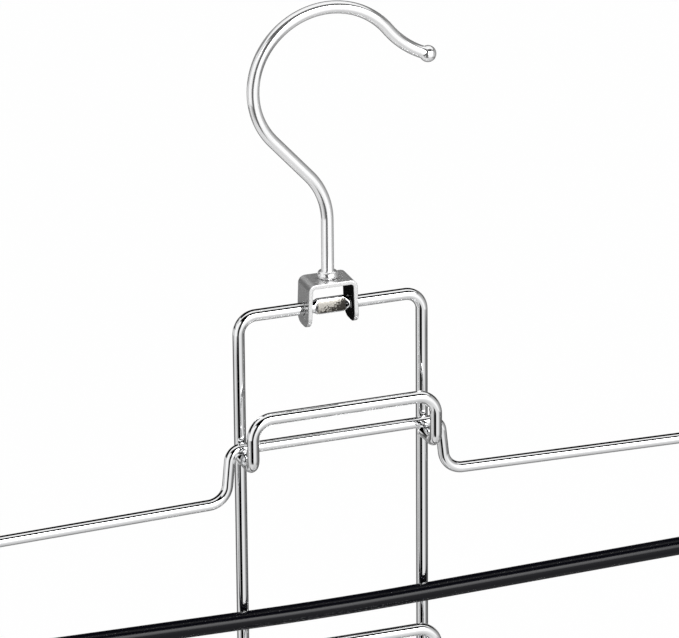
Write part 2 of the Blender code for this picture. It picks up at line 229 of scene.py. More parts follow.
# The dark flat at the left. Below a height its left side leans, by a share of the way down. Its back
# edge is the Y of a direction instead of degrees.
FLAT_LEFT = (-59.0, -53.0)
FLAT_RIGHT = (-9.0, -15.0)
FLAT_FOOT = (-50.0, -38.0)
FLAT_TOP = (60.0, 54.0)
FLAT_BACK = (0.02, -0.06)
FLAT_LEAN = 0.9
FLAT_LEAN_HEIGHT = -21.7

# The screen round the hook: its brightness as (degrees, brightness), its radius and the heights
# between which it comes in and goes out again, in metres, the higher ones at which it goes out to
# both sides, and the degrees between which it is that high
SCREEN = [
    (-180, 0.62), (-160, 0.66), (-156, 0.08), (-147, 0.08), (-143, 0.70), (-137, 0.74),
    (-122, 0.68), (-106, 0.54), (-95, 0.85), (-84, 1.04), (-62, 0.98), (-50, 0.84),
    (-44, 0.60), (-41, 0.02), (-16, 0.02), (-12, 0.70), (-4, 1.06), (46, 1.05),
    (56, 0.75), (66, 0.48), (80, 0.48), (92, 0.25), (124, 0.20), (137, 0.55),
    (180, 0.62),
]
SCREEN_RADIUS = 0.6
SCREEN_STEPS = 96
SCREEN_FOOT = (-0.338, -0.322)
SCREEN_TOP = (-0.13, -0.17)
SCREEN_SIDE_TOP = (0.20, 0.14)
SCREEN_SIDE_START = (36.0, 42.0)
SCREEN_SIDE_END = (130.0, 120.0)

# The black cards over what hangs below the top bar: their left, right, front and back edges. The
# small ones are for the top bar, less far forward over its pressed stretch, and the large one for
# the rest.
CARDS = [
    (-36.0 * MM, -7.0 * MM, 0.2 * MM, 9.0 * MM),
    (-7.0 * MM, 8.0 * MM, 2.0 * MM, 9.0 * MM),
    (8.0 * MM, 36.0 * MM, 0.2 * MM, 9.0 * MM),
    (-800.0 * MM, 800.0 * MM, 18.0 * MM, 1200.0 * MM),
]

# The lamp's place, width and power, and the floor's depth below the hanger, half width, shade and
# the share of plain white that the camera sees on it
LAMP_PLACE = (0.9, -1.4, 1.2)
LAMP_WIDTH = 1.2
LAMP_POWER = 6.0
FLOOR_DROP = 0.35
FLOOR_HALF = 30.0
FLOOR_SHADE = (0.9, 0.9, 0.9, 1)
FLOOR_WHITE = 0.93

# A point on a wire's middle line, the direction there, one to its side, and the run up to it
Station = namedtuple("Station", "place ahead side run")


def bend(before, corner, after, radius):
    """Points of the arc that rounds a corner between two straight runs."""
    into = (corner - before).normalized()
    out = (after - corner).normalized()
    turn = into.angle(out)
    start = corner - into * radius * math.tan(turn / 2)
    inward = (out - into * into.dot(out)).normalized()
    steps = max(LEAST_BEND_STEPS, round(BEND_STEPS * turn / (math.pi / 2)))
    points = []
    for step in range(steps + 1):
        angle = turn * step / steps
        forward = into * radius * math.sin(angle)
        aside = inward * radius * (1 - math.cos(angle))
        points.append(start + forward + aside)
    return points


def bent_path(corners, radii):
    places = [Vector(corner) for corner in corners]
    points = [places[0]]
    for index, radius in enumerate(radii):
        points += bend(*places[index : index + 3], radius)
    return points + [places[-1]]


def bent_loop(corners, radii):
    places = [Vector(corner) for corner in corners]
    points = []
    for index, radius in enumerate(radii):
        after = places[(index + 1) % len(places)]
        points += bend(places[index - 1], places[index], after, radius)
    return points


def placed(points, place, turn=0.0):
    """Points modelled round a joint's axis, moved to it and turned about X."""
    matrix = Matrix.Translation(place) @ Matrix.Rotation(turn, 4, "X")
    return [matrix @ point for point in points]


def rounded(start, end, centre, radius, steps=ROUND_STEPS):
    """Points of an arc round a centre, as pairs, between two angles in degrees."""
    points = []
    for step in range(steps + 1):
        angle = math.radians(start + (end - start) * step / steps)
        points.append((centre[0] + radius * math.cos(angle), centre[1] + radius * math.sin(angle)))
    return points


def along_path(points, closed=False, side=(0, 1, 0)):
    """A station at each point of a path, whose sides turn no more than the path bends."""
    side = Vector(side)
    count = len(points)
    stations = []
    run = 0.0
    for index, point in enumerate(points):
        before = points[index - 1] if index or closed else point
        after = points[(index + 1) % count] if index + 1 < count or closed else point
        ahead = (after - before).normalized()
        side = (side - ahead * side.dot(ahead)).normalized()
        if index:
            run += (point - points[index - 1]).length
        stations.append(Station(point, ahead, side, run))
    return stations


def station_at(stations, run):
    """The station at any run along a path, carried straight on past its ends."""
    last = len(stations) - 1
    index = next((k for k in range(1, last) if stations[k].run >= run), last)
    first, second = stations[index - 1], stations[index]
    share = (run - first.run) / (second.run - first.run)
    inside = min(1.0, max(0.0, share))
    place = first.place + (second.place - first.place) * share
    ahead = first.ahead.lerp(second.ahead, inside).normalized()
    side = first.side.lerp(second.side, inside)
    side = (side - ahead * side.dot(ahead)).normalized()
    return Station(place, ahead, side, run)


def object_of(name, mesh, finish):
    """The object of a finished mesh, in the scene."""
    data = bpy.data.meshes.new(name)
    mesh.to_mesh(data)
    mesh.free()
    data.materials.append(finish)
    made = bpy.data.objects.new(name, data)
    bpy.context.scene.collection.objects.link(made)
    return made


def tube(name, stations, radii, finish, body, node, closed=False, shape=None):
    """A round skin through stations, with UVs that run along in metres and around from 0 to 1."""
    mesh = bmesh.new()
    uv = mesh.loops.layers.uv.new("wire")
    rings = []
    for station, radius in zip(stations, radii):
        up = station.ahead.cross(station.side)
        ring = []
        for k in range(SIDES):
            angle = 2 * math.pi * k / SIDES
            out = station.side * math.cos(angle) + up * math.sin(angle)
            ring.append(mesh.verts.new(station.place + out * radius))
        rings.append(ring)
    runs = [station.run for station in stations]
    if closed:
        rings.append(rings[0])
        runs.append(runs[-1] + (stations[0].place - stations[-1].place).length)
    for i in range(len(rings) - 1):
        for k in range(SIDES):
            corners = ((i, k), (i, k + 1), (i + 1, k + 1), (i + 1, k))
            face = mesh.faces.new([rings[row][around % SIDES] for row, around in corners])
            face.smooth = True
            for loop, (row, around) in zip(face.loops, corners):
                loop[uv].uv = (runs[row], around / SIDES)
    if not closed:
        for ring in (rings[0][::-1], rings[-1]):
            mesh.faces.new(ring)
    bmesh.ops.recalc_face_normals(mesh, faces=mesh.faces)
    made = object_of(name, mesh, finish)
    if shape:
        shape(made)
    made.data.set_sharp_from_angle(angle=SHARP_ANGLE)
    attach(made, body)
    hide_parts(node)


def turned(name, path, profile, finish, body, node):
    """A tube along a path whose radius follows a profile of (run, radius)."""
    stations = [station_at(path, run) for run, _ in profile]
    radii = [radius for _, radius in profile]
    tube(name, stations, radii, finish, body, node)


def alike_ends(end, path, radius):
    """A profile with a shaped end, an even middle, and that end again, mirrored."""
    length = path[-1].run
    middle = [(station.run, radius) for station in path[1:-1]]
    return end + middle + [(length - run, out) for run, out in reversed(end)]


def feed(tree, socket, source):
    """Links a source to a socket, or sets it there where it is a plain value."""
    if isinstance(source, bpy.types.NodeSocket):
        tree.links.new(source, socket)
    else:
        socket.default_value = source


def maths(tree, operation, first, second=0.0, third=0.0):
    made = tree.nodes.new("ShaderNodeMath")
    made.operation = operation
    for socket, source in zip(made.inputs, (first, second, third)):
        feed(tree, socket, source)
    return made.outputs[0]


def product(tree, first, *others):
    for other in others:
        first = maths(tree, "MULTIPLY", first, other)
    return first


def split(tree, vector):
    """The X, Y and Z of a vector."""
    made = tree.nodes.new("ShaderNodeSeparateXYZ")
    tree.links.new(vector, made.inputs[0])
    return made.outputs


def from_front(tree, aside, y):
    """Degrees turned from the object's front towards the side that is given."""
    front = maths(tree, "MULTIPLY", y, -1.0)
    return maths(tree, "MULTIPLY", maths(tree, "ARCTAN2", aside, front), DEGREES)


def soft_step(tree, value, low, high, start=0.0, end=1.0):
    """From start below low to end above high, with soft ends. High may be the lower number."""
    made = tree.nodes.new("ShaderNodeMapRange")
    made.interpolation_type = "SMOOTHSTEP"
    if low > high:
        low, high, start, end = high, low, end, start
    tree.links.new(value, made.inputs["Value"])
    made.inputs["From Min"].default_value = low
    made.inputs["From Max"].default_value = high
    made.inputs["To Min"].default_value = start
    made.inputs["To Max"].default_value = end
    return made.outputs["Result"]


def ramp(tree, value, stops):
    """A brightness that goes through (value, brightness) stops and stays level past them."""
    low, high = stops[0][0], stops[-1][0]
    top = max(level for _, level in stops)
    share = maths(tree, "DIVIDE", maths(tree, "SUBTRACT", value, low), high - low)
    made = tree.nodes.new("ShaderNodeValToRGB")
    points = made.color_ramp.elements
    while len(points) < len(stops):
        points.new(0.5)
    for point, (place, level) in zip(points, stops):
        point.position = (place - low) / (high - low)
        point.color = (level / top, level / top, level / top, 1)
    tree.links.new(share, made.inputs["Fac"])
    return maths(tree, "MULTIPLY", made.outputs["Color"], top)


def blend_number(tree, share, first, second):
    made = tree.nodes.new("ShaderNodeMix")
    tree.links.new(share, made.inputs["Factor"])
    feed(tree, made.inputs["A"], first)
    feed(tree, made.inputs["B"], second)
    return made.outputs["Result"]


def mixed(tree, share, first, second):
    """A colour between two, each of them a socket or a red, green and blue."""
    made = tree.nodes.new("ShaderNodeMix")
    made.data_type = "RGBA"
    tree.links.new(share, made.inputs["Factor"])
    for name, colour in (("A", first), ("B", second)):
        is_linked = isinstance(colour, bpy.types.NodeSocket)
        feed(tree, made.inputs[name], colour if is_linked else (*colour, 1))
    return made.outputs["Result"]


def noise(tree, vector, scale=1.0, detail=2.0):
    made = tree.nodes.new("ShaderNodeTexNoise")
    made.inputs["Scale"].default_value = scale
    made.inputs["Detail"].default_value = detail
    tree.links.new(vector, made.inputs["Vector"])
    return made.outputs["Fac"]


def wire_vector(tree, along, around):
    """Texture space that runs along and around a wire without a seam."""
    uv = tree.nodes.new("ShaderNodeUVMap")
    uv.uv_map = "wire"
    parts = split(tree, uv.outputs[0])
    turn = maths(tree, "MULTIPLY", parts["Y"], 2 * math.pi)
    joined = tree.nodes.new("ShaderNodeCombineXYZ")
    tree.links.new(product(tree, parts["X"], along), joined.inputs["X"])
    tree.links.new(product(tree, maths(tree, "COSINE", turn), around), joined.inputs["Y"])
    tree.links.new(product(tree, maths(tree, "SINE", turn), around), joined.inputs["Z"])
    return joined.outputs[0]


def bump(tree, height, strength, distance, before=None):
    made = tree.nodes.new("ShaderNodeBump")
    made.inputs["Distance"].default_value = distance
    tree.links.new(height, made.inputs["Height"])
    feed(tree, made.inputs["Strength"], strength)
    if before:
        tree.links.new(before, made.inputs["Normal"])
    return made.outputs[0]


def shader_of(name, metallic):
    made = bpy.data.materials.new(name)
    made.use_nodes = True
    shader = made.node_tree.nodes["Principled BSDF"]
    shader.inputs["Metallic"].default_value = metallic
    return made, made.node_tree, shader


def link_surface(tree, shader, shade, roughness, normal):
    tree.links.new(shade, shader.inputs["Base Color"])
    tree.links.new(roughness, shader.inputs["Roughness"])
    tree.links.new(normal, shader.inputs["Normal"])


def show_mix(tree, share, first, second):
    """Mixes two shaders by a share of the second and shows them."""
    mix = tree.nodes.new("ShaderNodeMixShader")
    tree.links.new(share, mix.inputs[0])
    tree.links.new(first.outputs[0], mix.inputs[1])
    tree.links.new(second.outputs[0], mix.inputs[2])
    tree.links.new(mix.outputs[0], tree.nodes["Material Output"].inputs["Surface"])


def chrome(name, colour, rough, metallic=1.0, sheet=False, grain_or_painted_shade=None):
    """Bright plate: faint drawing lines, haze that comes and goes, and fine pores. A function that is
    given goes on from there where a piece has a stretch that looks different: the grain of the top
    bar's pressed stretch, or the painted shade on the clevis's arms and inner side."""
    made, tree, shader = shader_of(name, metallic)
    place = tree.nodes.new("ShaderNodeTexCoord")
    at = place.outputs["Object"]
    if sheet:
        lines = noise(tree, at, scale=900.0, detail=3.0)
    else:
        lines = noise(tree, wire_vector(tree, along=28.0, around=9.0), detail=4.0)
    haze = noise(tree, at, scale=70.0, detail=3.0)
    pores = noise(tree, at, scale=2600.0)
    pitted = soft_step(tree, pores, low=0.70, high=0.78)
    hazed = soft_step(tree, haze, low=0.35, high=0.7)
    lined = soft_step(tree, lines, low=0.4, high=0.75)
    roughness = rough
    for share, rougher in ((hazed, 0.035), (lined, 0.02), (pitted, 0.15)):
        roughness = maths(tree, "MULTIPLY_ADD", share, rougher, roughness)
    dimmed = soft_step(tree, haze, low=0.3, high=0.75)
    shade = mixed(tree, dimmed, colour, [HAZE_SHADE * part for part in colour])
    normal = bump(tree, lines, strength=0.02, distance=0.3 * MM)
    normal = bump(tree, pitted, strength=0.05, distance=0.05 * MM, before=normal)
    if grain_or_painted_shade:
        shade, roughness, normal = grain_or_painted_shade(tree, place, shade, roughness, normal)
    link_surface(tree, shader, shade, roughness, normal)
    return made


def painted_shade_of_clevis(tree, place, shade, roughness, normal):
    """Painted shade on the clevis: grey on its arms and near black on its inner side."""
    at = split(tree, place.outputs["Object"])
    facing = split(tree, place.outputs["Normal"])
    below_web = maths(tree, "SUBTRACT", TOP_BAR_Z + CLEVIS_WEB, at["Z"])
    half = maths(tree, "MULTIPLY_ADD", below_web, math.tan(CLEVIS_SPLAY), CLEVIS_HALF)
    across = maths(tree, "ABSOLUTE", maths(tree, "SUBTRACT", at["X"], CLEVIS_X))
    # Painted shade, near black, on the clevis's inner side: below the web and within the arms, on
    # faces that look neither to the front nor to the back
    inside = product(
        tree,
        soft_step(tree, maths(tree, "SUBTRACT", half, across), 0.0, INSIDE_DEPTH),
        soft_step(tree, below_web, 0.0, INSIDE_DEPTH),
        soft_step(tree, maths(tree, "ABSOLUTE", facing["Y"]), low=0.5, high=0.3),
    )
    # Painted shade, grey, on the faces of the arms that look to the sides
    arm_painted_shade = soft_step(tree, maths(tree, "ABSOLUTE", facing["X"]), low=0.5, high=0.9)
    shade = mixed(tree, arm_painted_shade, shade, ARM_PAINTED_SHADE)
    shade = mixed(tree, inside, shade, INSIDE_PAINTED_SHADE)
    roughness = maths(tree, "MULTIPLY_ADD", inside, INSIDE_ROUGHER, roughness)
    return shade, roughness, normal


def coin_grain(tree, place, shade, roughness, normal):
    """The top bar's pressed stretch: a bare, grainy flat, darker to its lower right and right end."""
    at = split(tree, place.outputs["Object"])
    facing = split(tree, place.outputs["Normal"])
    top_bar = (TOP_BAR_Z - 2 * FRAME_WIRE, TOP_BAR_Z - 1.5 * FRAME_WIRE)
    coin = product(
        tree,
        soft_step(tree, maths(tree, "ABSOLUTE", at["X"]), *GRAIN_END),
        soft_step(tree, maths(tree, "ABSOLUTE", facing["Y"]), low=0.86, high=0.97),
        soft_step(tree, at["Z"], *top_bar),
    )
    grain = noise(tree, place.outputs["Object"], scale=1500.0, detail=4.0)
    grainy = mixed(tree, grain, GRAIN_DARK, GRAIN_LIGHT)
    height = maths(tree, "SUBTRACT", at["Z"], TOP_BAR_Z)
    # Darker towards the lower right and the right end of the stretch
    dark_reach = maths(tree, "MULTIPLY_ADD", at["X"], DARK_PATCH_TO_RIGHT, grain)
    dark_reach = maths(tree, "MULTIPLY_ADD", height, DARK_PATCH_UPWARDS, dark_reach)
    dark_reach = maths(tree, "ADD", dark_reach, soft_step(tree, at["X"], *DARK_PATCH_AT_END))
    darkened = soft_step(tree, dark_reach, low=0.49, high=0.62)
    grainy = mixed(tree, darkened, grainy, DARK_PATCH_COLOUR)
    shade = mixed(tree, coin, shade, grainy)
    roughness = maths(tree, "MULTIPLY_ADD", coin, GRAIN_ROUGHER, roughness)
    pressed = product(tree, coin, 0.5)
    normal = bump(tree, grain, strength=pressed, distance=0.2 * MM, before=normal)
    return shade, roughness, normal


def sleeve_black():
    """Soft black plastic: an even fine skin, faint lines from its drawing and a few dull rubs."""
    made, tree, shader = shader_of("black_sleeve", 0.0)
    place = tree.nodes.new("ShaderNodeTexCoord")
    skin = noise(tree, place.outputs["Object"], scale=3200.0, detail=3.0)
    drawn = noise(tree, wire_vector(tree, along=6.0, around=7.0), detail=3.0)
    rubs = noise(tree, wire_vector(tree, along=60.0, around=2.0), detail=5.0)
    rubbed = soft_step(tree, rubs, low=0.55, high=0.75)
    roughness = 0.14
    for share, rougher in ((rubbed, 0.05), (skin, 0.03)):
        roughness = maths(tree, "MULTIPLY_ADD", share, rougher, roughness)
    shade = mixed(tree, rubbed, SLEEVE_DARK, SLEEVE_RUBBED)
    normal = bump(tree, skin, strength=0.12, distance=0.06 * MM)
    normal = bump(tree, drawn, strength=0.05, distance=0.2 * MM, before=normal)
    link_surface(tree, shader, shade, roughness, normal)
    shader.inputs["Specular IOR Level"].default_value = 0.2
    return made


def make_frame():
    """The closed frame wire, with many rings over the pressed stretch of the top bar."""
    bottom = FRAME_BOTTOM_Z - TOP_BAR_Z
    corners = [
        (-HALF_SPACING, 0, 0),
        (-HALF_SPACING, 0, bottom),
        (HALF_SPACING, 0, bottom),
        (HALF_SPACING, 0, 0),
    ]
    points = bent_loop(corners, [FRAME_CORNER] * len(corners))
    half = COIN_LENGTH / 2
    for step in range(COIN_STEPS + 1):
        points.append(Vector((half * (1 - 2 * step / COIN_STEPS), 0, 0)))
    path = along_path(placed(points, (0, 0, TOP_BAR_Z)), closed=True)
    radii = [FRAME_WIRE / 2] * len(path)
    tube("wire_frame", path, radii, COINED, "hanger_frame", "frame_wire", True, press_flat)


def smooth_step(value):
    value = min(1.0, max(0.0, value))
    return value * value * (3 - 2 * value)


def press_flat(obj):
    """Coins the middle of the top bar: lower in depth, higher in height, with soft shoulders."""
    for vertex in obj.data.vertices:
        x, y, z = vertex.co
        z -= TOP_BAR_Z
        if abs(z) > FRAME_WIRE or abs(x) > COIN_LENGTH / 2:
            continue
        across = y / (FRAME_WIRE / 2)
        up = z / (FRAME_WIRE / 2)
        flat_y = math.copysign(abs(across) ** COIN_FLATNESS, across) * COIN_THICKNESS / 2
        flat_z = math.copysign(abs(up) ** COIN_ROUNDNESS, up) * COIN_HEIGHT / 2
        pressed = smooth_step((COIN_LENGTH / 2 - abs(x)) / COIN_SHOULDER)
        vertex.co.y += pressed * (flat_y - y)
        vertex.co.z += pressed * (flat_z - z)


def make_cradle(number, z):
    """A staple that is welded to the fronts of the uprights, with a small swell at each weld."""
    back = -(FRAME_WIRE / 2 - WELD_SINK)
    front = -CRADLE_REACH
    points = bent_path(
        [
            (-HALF_SPACING, back, 0),
            (-HALF_SPACING, front, 0),
            (-HALF_SPACING, front, CRADLE_HEIGHT),
            (HALF_SPACING, front, CRADLE_HEIGHT),
            (HALF_SPACING, front, 0),
            (HALF_SPACING, back, 0),
        ],
        [CRADLE_TURN, CRADLE_CORNER, CRADLE_CORNER, CRADLE_TURN],
    )
    path = along_path(placed(points, (0, 0, z)), side=(1, 0, 0))
    radius = CRADLE_WIRE / 2
    end = [(0.0, radius - WELD_SWELL)]
    for step in range(1, ROUND_STEPS + 1):
        share = step / ROUND_STEPS
        end.append((share * WELD_LENGTH, radius + WELD_SWELL * math.sin(math.pi * share) ** 2))
    profile = alike_ends(end, path, radius)
    name, node = f"wire_cradle_{number}", f"cradle_{number}"
    turned(name, path, profile, WIRE_CHROME, "hanger_frame", node)


def bar_height(x):
    """The height of a tier's bar, which rises a little to both sides of its middle."""
    return -BAR_CORNER_DEPTH + abs(x) * math.tan(BAR_RISE)


def make_tier_wire(number, z):
    """A tier's closed wire loop: raised middle, steps, drooping wings, round ends and the bar."""
    step = HALF_SPACING + STEP_OFFSET
    slant = TIER_STEP / 2 * math.tan(STEP_SLANT)
    end = TIER_WIDTH / 2
    wing_end = -TIER_STEP - (end - step - slant) * math.tan(WING_DROOP)
    corners = [
        (step - slant, 0, 0),
        (step + slant, 0, -TIER_STEP),
        (end, 0, wing_end),
        (end, 0, bar_height(end)),
    ]
    bends = [TIER_TOP_BEND, TIER_FOOT_BEND, TIER_END_BEND, TIER_END_BEND]
    other = [(-x, y, height) for x, y, height in reversed(corners)]
    middle = (0, 0, bar_height(0))
    points = bent_loop(corners + [middle] + other, bends + [BAR_BEND] + bends[::-1])
    path = along_path(placed(points, (0, TIER_Y, z), TIER_LEAN), closed=True)
    radii = [TIER_WIRE / 2] * len(path)
    name, node = f"wire_tier_{number}", f"tier_wire_{number}"
    tube(name, path, radii, WIRE_CHROME, f"tier_{number}", node, True)


def make_sleeve(number, z):
    """The sleeve over a tier's bar, with rounded, open ends."""
    end = TIER_WIDTH / 2 - TIER_END_BEND - SLEEVE_END_GAP
    corners = [(-end, 0, bar_height(end)), (0, 0, bar_height(0)), (end, 0, bar_height(end))]
    points = bent_path(corners, [BAR_BEND])
    path = along_path(placed(points, (0, TIER_Y, z), TIER_LEAN))
    outer = SLEEVE_DIAMETER / 2
    bore = TIER_WIRE / 2 + SLEEVE_BORE_GAP
    rim = [(SLEEVE_BORE_DEPTH, bore), (SLEEVE_EDGE / 2, bore), (0.0, bore + SLEEVE_EDGE / 2)]
    rim += rounded(180, 90, (SLEEVE_EDGE, outer - SLEEVE_EDGE), SLEEVE_EDGE)
    profile = alike_ends(rim, path, outer)
    name, node = f"sleeve_{number}", f"trouser_sleeve_{number}"
    turned(name, path, profile, BLACK, f"tier_{number}", node)


def fold_point(s, y, t):
    """Where a point of the flat strip comes to lie: s along it from the web's middle, t out of it."""
    run = abs(s)
    if run <= FOLD_START:
        x, z, angle = run, CLEVIS_WEB, 0.0
    else:
        angle = min(CLEVIS_TURN, (run - FOLD_START) / CLEVIS_FOLD)
        rest = max(0.0, run - FOLD_END)
        x = FOLD_START + CLEVIS_FOLD * math.sin(angle) + rest * math.cos(angle)
        z = CLEVIS_WEB - CLEVIS_FOLD * (1 - math.cos(angle)) - rest * math.sin(angle)
    x += t * math.sin(angle)
    z += t * math.cos(angle)
    return Vector((math.copysign(x, s), y, z))


def outline(curve, points):
    spline = curve.splines.new("POLY")
    spline.points.add(len(points) - 1)
    for target, (x, y) in zip(spline.points, points):
        target.co = (x, y, 0, 1)
    spline.use_cyclic_u = True


def circle(x, radius):
    angles = [2 * math.pi * k / HOLE_SIDES for k in range(HOLE_SIDES)]
    return [(x + radius * math.cos(angle), radius * math.sin(angle)) for angle in angles]


def clevis_blank():
    """The clevis's flat strip as a mesh, with rounded corners, rounded edges and three holes."""
    arm_top = CLEVIS_WEB - CLEVIS_FOLD * (1 - math.cos(CLEVIS_TURN))
    bar = FOLD_END + arm_top / math.sin(CLEVIS_TURN)
    end = FOLD_END + (arm_top + CLEVIS_DROP) / math.sin(CLEVIS_TURN) - CLEVIS_END_ROUND
    side = CLEVIS_DEPTH / 2 - CLEVIS_END_ROUND
    sheet = []
    for x, y, start in ((end, side, 0), (-end, side, 90), (-end, -side, 180), (end, -side, 270)):
        sheet += rounded(start, start + 90, (x, y), CLEVIS_END_ROUND - CLEVIS_EDGE)
    curve = bpy.data.curves.new("clevis_flat", "CURVE")
    curve.dimensions = "2D"
    curve.fill_mode = "BOTH"
    curve.extrude = CLEVIS_STRIP / 2 - CLEVIS_EDGE
    curve.bevel_depth = CLEVIS_EDGE
    curve.bevel_resolution = 3
    bar_hole = FRAME_WIRE / 2 + CLEARANCE + CLEVIS_EDGE
    shank_hole = HOOK_WIRE / 2 + CLEARANCE / 2 + CLEVIS_EDGE
    for points in (sheet, circle(bar, bar_hole), circle(-bar, bar_hole), circle(0, shank_hole)):
        outline(curve, points)
    blank = bpy.data.objects.new("clevis_flat", curve)
    bpy.context.scene.collection.objects.link(blank)
    bpy.context.view_layer.update()
    graph = bpy.context.evaluated_depsgraph_get()
    data = bpy.data.meshes.new_from_object(blank.evaluated_get(graph))
    mesh = bmesh.new()
    mesh.from_mesh(data)
    bmesh.ops.remove_doubles(mesh, verts=mesh.verts, dist=MERGE_DISTANCE)
    bpy.data.objects.remove(blank)
    bpy.data.meshes.remove(data)
    return mesh


def make_clevis():
    """The clevis, cut flat, with edges across its folds, and then folded over."""
    mesh = clevis_blank()
    width = FOLD_END - FOLD_START
    cuts = [FOLD_START + width * step / FOLD_STEPS for step in range(FOLD_STEPS + 1)]
    for cut in cuts + [-cut for cut in cuts]:
        bmesh.ops.bisect_plane(
            mesh,
            geom=mesh.verts[:] + mesh.edges[:] + mesh.faces[:],
            plane_co=(cut, 0, 0),
            plane_no=(1, 0, 0),
            dist=CUT_DISTANCE,
        )
    for vertex in mesh.verts:
        vertex.co = fold_point(*vertex.co) + Vector((CLEVIS_X, 0, TOP_BAR_Z))
    for face in mesh.faces:
        face.smooth = True
    bmesh.ops.recalc_face_normals(mesh, faces=mesh.faces)
    made = object_of("folded_clevis", mesh, SHEET_CHROME)
    weighted = made.modifiers.new("even_faces", "WEIGHTED_NORMAL")
    weighted.weight = 100
    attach(made, "clevis")
    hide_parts("clevis")


def hook_path(start):
    """The hook's centre line, a run of straights and arcs that each go on where the last ended."""
    place = Vector((0, 0, start))
    points = [place.copy()]
    heading = 0.0

    def straight(length):
        place.x += length * math.sin(heading)
        place.z += length * math.cos(heading)
        points.append(place.copy())

    def arc(radius, turn):
        nonlocal heading
        steps = max(2, round(2 * BEND_STEPS * abs(turn) / (math.pi / 2)))
        chord = 2 * radius * math.sin(abs(turn) / steps / 2)
        for _ in range(steps):
            heading += turn / steps / 2
            straight(chord)
            heading += turn / steps / 2

    straight(HOOK_SHANK - start)
    arc(HOOK_NECK_RADIUS, -HOOK_NECK_TURN)
    straight(HOOK_SLANT)
    arc(HOOK_BOWL_RADIUS, HOOK_BOWL_TURN)
    arc(HOOK_LIP_RADIUS, -HOOK_LIP_TURN)
    return points


def riveted_end(start):
    """The hook's lower end as (height, radius): riveted head, shank, rounded collar and fillet."""
    shank = HOOK_WIRE / 2
    rivet_top = start + RIVET_HEIGHT
    collar_foot = CLEVIS_RISE + CLEARANCE / 2
    collar_top = collar_foot + COLLAR_HEIGHT
    profile = []
    for step in range(1, ROUND_STEPS + 1):
        angle = math.pi / 2 * step / ROUND_STEPS
        height = start + RIVET_HEIGHT * (1 - math.cos(angle))
        profile.append((height, RIVET_DIAMETER / 2 * math.sin(angle)))
    profile += [(rivet_top, shank), (collar_foot, shank)]
    for step in range(-ROUND_STEPS, ROUND_STEPS + 1):
        angle = math.radians(COLLAR_ARC * step / ROUND_STEPS)
        height = (collar_foot + collar_top) / 2 + COLLAR_HEIGHT / 2 * math.sin(angle)
        profile.append((height, COLLAR_DIAMETER / 2 - COLLAR_ROUND * (1 - math.cos(angle))))
    return profile + [(collar_top + rise, shank + out) for rise, out in COLLAR_FILLET]


def make_hook():
    """One wire from its riveted head below the web, through its collar, to its ball tip."""
    shank = HOOK_WIRE / 2
    ball = HOOK_BALL / 2
    start = CLEVIS_RISE - CLEVIS_STRIP - CLEARANCE / 2 - RIVET_HEIGHT
    path = along_path(placed(hook_path(start), (CLEVIS_X, 0, TOP_BAR_Z)))
    length = path[-1].run
    profile = [(height - start, radius) for height, radius in riveted_end(start)]
    profile += [(station.run, shank) for station in path[1:] if station.run < length - ball]
    neck = math.degrees(math.asin(shank / ball))
    profile += rounded(180 - neck, BALL_LAST_RING, (length, 0), ball, 2 * ROUND_STEPS)
    turned("wire_hook", path, profile, HOOK_CHROME, "hook", "hook")


def make_world():
    """A white studio. Only the gloss sees its dark flats at the left, above and behind."""
    world = bpy.data.worlds.new("studio")
    bpy.context.scene.world = world
    world.use_nodes = True
    tree = world.node_tree
    place = tree.nodes.new("ShaderNodeTexCoord")
    x, y, z = split(tree, place.outputs["Generated"])
    azimuth = from_front(tree, x, y)
    tilt = from_front(tree, z, y)
    height = maths(tree, "MULTIPLY", maths(tree, "ARCSINE", z), DEGREES)

    def region(*edges):
        """The share of a region that is 1 within all of its soft edges."""
        return product(tree, *[soft_step(tree, value, *edge) for value, edge in edges])

    falloff = ramp(tree, tilt, FALLOFF)
    before = region((maths(tree, "ABSOLUTE", azimuth), BEFORE_OBJECT))
    shaded = blend_number(tree, before, 1.0, falloff)
    around = product(tree, ramp(tree, azimuth, AROUND), shaded)
    level = region((height, LEVEL_FOOT), (height, LEVEL_TOP))
    seen = blend_number(tree, level, falloff, around)
    patch = region((azimuth, PATCH_RIGHT), (azimuth, PATCH_LEFT), (height, PATCH_TOP))
    seen = blend_number(tree, patch, seen, PATCH_LEVEL)
    above = ramp(tree, tilt, OVERHEAD)
    seen = blend_number(tree, region((height, OVERHEAD_FOOT)), seen, above)

    below = maths(tree, "MINIMUM", maths(tree, "SUBTRACT", height, FLAT_LEAN_HEIGHT), 0.0)
    leaning = maths(tree, "MULTIPLY_ADD", below, FLAT_LEAN, azimuth)
    sides = [(leaning, FLAT_LEFT), (azimuth, FLAT_RIGHT)]
    flat = region(*sides, (height, FLAT_FOOT), (tilt, FLAT_TOP), (y, FLAT_BACK))
    seen = product(tree, seen, maths(tree, "SUBTRACT", 1.0, flat))

    rays = tree.nodes.new("ShaderNodeLightPath")
    light = blend_number(tree, rays.outputs["Is Glossy Ray"], 1.0, seen)
    background = tree.nodes["Background"]
    tree.links.new(light, background.inputs["Color"])
    background.inputs["Strength"].default_value = 1.0


def part_clear(name, solid_part):
    """A glow that is clear in places. The function solid_part makes the nodes for the share that is
    solid and for its brightness, or gives None for a black one."""
    made = bpy.data.materials.new(name)
    made.use_nodes = True
    tree = made.node_tree
    glow = tree.nodes.new("ShaderNodeEmission")
    clear = tree.nodes.new("ShaderNodeBsdfTransparent")
    share, level = solid_part(tree)
    if level:
        tree.links.new(level, glow.inputs["Color"])
    else:
        glow.inputs["Strength"].default_value = 0.0
    show_mix(tree, share, clear, glow)
    return made


def stage_gloss(name, mesh, finish):
    """A piece of the studio that only the gloss sees."""
    made = object_of(name, mesh, finish)
    made.visible_camera = False
    made.visible_diffuse = False
    made.visible_transmission = False
    made.visible_shadow = False


